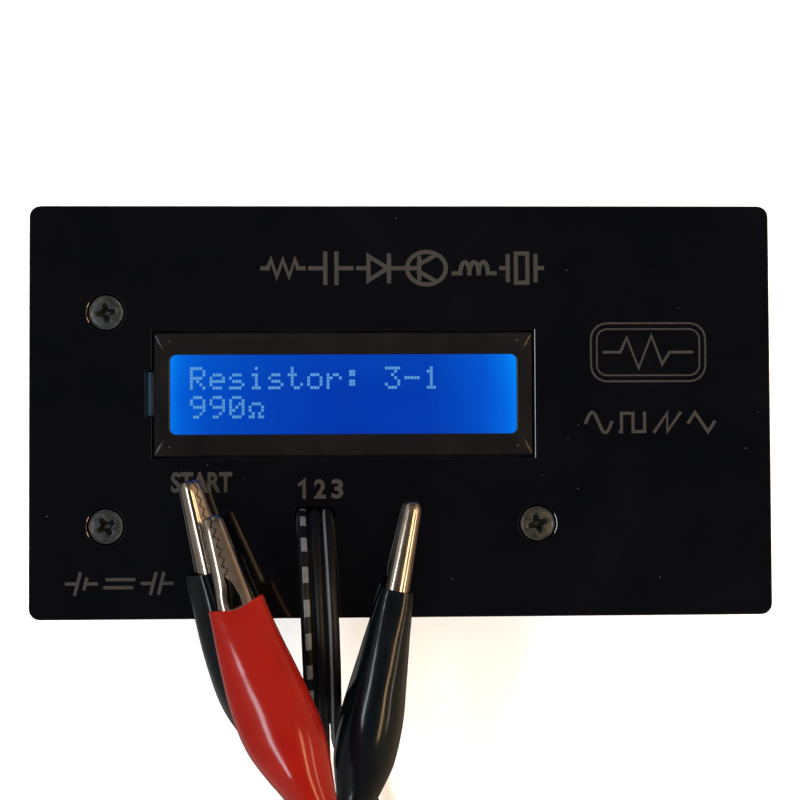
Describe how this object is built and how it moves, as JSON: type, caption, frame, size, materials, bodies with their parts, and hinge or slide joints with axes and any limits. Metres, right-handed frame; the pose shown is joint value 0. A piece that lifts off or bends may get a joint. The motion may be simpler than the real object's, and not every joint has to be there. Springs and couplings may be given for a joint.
{
  "type": "component tester",
  "caption": "Slim black component tester with a two-line blue display, a start button, and three test leads ending in insulated spring clips.",
  "frame": {"origin": "centre of the footprint on the table, without the leads and clips", "axes": "+X along the panel to its right, +Y towards the panel's back edge, +Z out of the panel's face"},
  "size_m": [0.137, 0.1461, 0.0589],
  "materials": {
    "acrylic": "polished black acrylic",
    "case_plastic": "fine satin texture",
    "foot_rubber": "matte",
    "black_zinc": "black zinc plating",
    "standoff_brass": "machined",
    "bright_steel": "bright zinc plating",
    "bezel_steel": "satin black",
    "lcd_blue": "blue display film, lit from behind",
    "light_guide": "milky",
    "board_green": "solder mask",
    "header_plastic": "moulded",
    "chip_plastic": "moulded epoxy",
    "can_metal": "drawn can",
    "capacitor_sleeve": "shrink sleeve",
    "trimmer_blue": "moulded",
    "rotor_white": "moulded",
    "switch_plastic": "moulded",
    "button_plastic": "moulded",
    "battery_foil": "printed jacket without marks",
    "snap_vinyl": "soft vinyl",
    "wire_red": "vinyl insulation",
    "wire_black": "vinyl insulation",
    "clip_nickel": "nickel-plated stamped steel",
    "spring_steel": "drawn wire",
    "boot_black": "glossy soft vinyl",
    "boot_red": "glossy soft vinyl",
    "lead_vinyl": "glossy vinyl insulation"
  },
  "bodies": {
    "tester": {"battery": "battery_foil", "battery_snap": "snap_vinyl", "battery_wire_black": "wire_black", "battery_wire_red": "wire_red", "board_nut_1": "bright_steel", "board_nut_2": "bright_steel", "board_nut_3": "bright_steel", "case_frame": "case_plastic", "chip_socket": "chip_plastic", "clip_1_boot": "boot_black", "clip_1_fixed_jaw": "clip_nickel", "clip_1_pivot_pin": "clip_nickel", "clip_1_spring": "spring_steel", "clip_2_boot": "boot_red", "clip_2_fixed_jaw": "clip_nickel", "clip_2_pivot_pin": "clip_nickel", "clip_2_spring": "spring_steel", "clip_3_boot": "boot_black", "clip_3_fixed_jaw": "clip_nickel", "clip_3_pivot_pin": "clip_nickel", "clip_3_spring": "spring_steel", "cover_screw_1": "black_zinc", "cover_screw_2": "black_zinc", "cover_screw_3": "black_zinc", "cover_screw_4": "black_zinc", "crystal": "can_metal", "face_panel": "acrylic", "lcd_backlight": "light_guide", "lcd_bezel": "bezel_steel", "lcd_board": "board_green", "lcd_glass": "lcd_blue", "lcd_header": "header_plastic", "lead_terminal": "header_plastic", "main_board": "board_green", "microcontroller": "chip_plastic", "panel_screw_1": "black_zinc", "panel_screw_2": "black_zinc", "panel_screw_3": "black_zinc", "rear_cover": "case_plastic", "rubber_foot_1": "foot_rubber", "rubber_foot_2": "foot_rubber", "rubber_foot_3": "foot_rubber", "rubber_foot_4": "foot_rubber", "smoothing_capacitor": "capacitor_sleeve", "standoff_1": "standoff_brass", "standoff_2": "standoff_brass", "standoff_3": "standoff_brass", "start_switch_body": "switch_plastic", "test_lead_1": "lead_vinyl", "test_lead_2": "lead_vinyl", "test_lead_3": "lead_vinyl", "trimmer_body": "trimmer_blue", "voltage_regulator": "chip_plastic"},
    "start_button": {"start_button": "button_plastic"},
    "trimmer_rotor": {"trimmer_rotor": "rotor_white"},
    "clip_1_jaw": {"clip_1_moving_jaw": "clip_nickel"},
    "clip_2_jaw": {"clip_2_moving_jaw": "clip_nickel"},
    "clip_3_jaw": {"clip_3_moving_jaw": "clip_nickel"}
  },
  "joints": [
    {"name": "start_press", "type": "slide", "parent": "tester", "child": "start_button", "axis": [0, 0, -1], "range_m": [0, 0.00035], "stiffness_N_per_m": 150, "springref_m": -0.0002},
    {"name": "contrast_turn", "type": "hinge", "parent": "tester", "child": "trimmer_rotor", "pos_m": [-0.0552, -0.002, 0.0126], "axis": [0, 0, 1], "range_deg": [-130, 130]},
    {"name": "clip_1_open", "type": "hinge", "parent": "tester", "child": "clip_1_jaw", "pos_m": [-0.03382, -0.03032, 0.0366], "axis": [0.681, 0.1905, 0.7071], "range_deg": [0, 18], "stiffness_Nm_per_rad": 0.01, "springref_deg": -17.19, "deforming": ["clip_1_spring"]},
    {"name": "clip_2_open", "type": "hinge", "parent": "tester", "child": "clip_2_jaw", "pos_m": [-0.02883, -0.0358, 0.04603], "axis": [0.0798, -0.2483, -0.9654], "range_deg": [0, 18], "stiffness_Nm_per_rad": 0.01, "springref_deg": -17.19, "deforming": ["clip_2_spring"]},
    {"name": "clip_3_open", "type": "hinge", "parent": "tester", "child": "clip_3_jaw", "pos_m": [-0.00191, -0.0346, 0.03581], "axis": [0.9794, -0.2018, 0], "range_deg": [0, 18], "stiffness_Nm_per_rad": 0.01, "springref_deg": -17.19, "deforming": ["clip_3_spring"]}
  ]
}
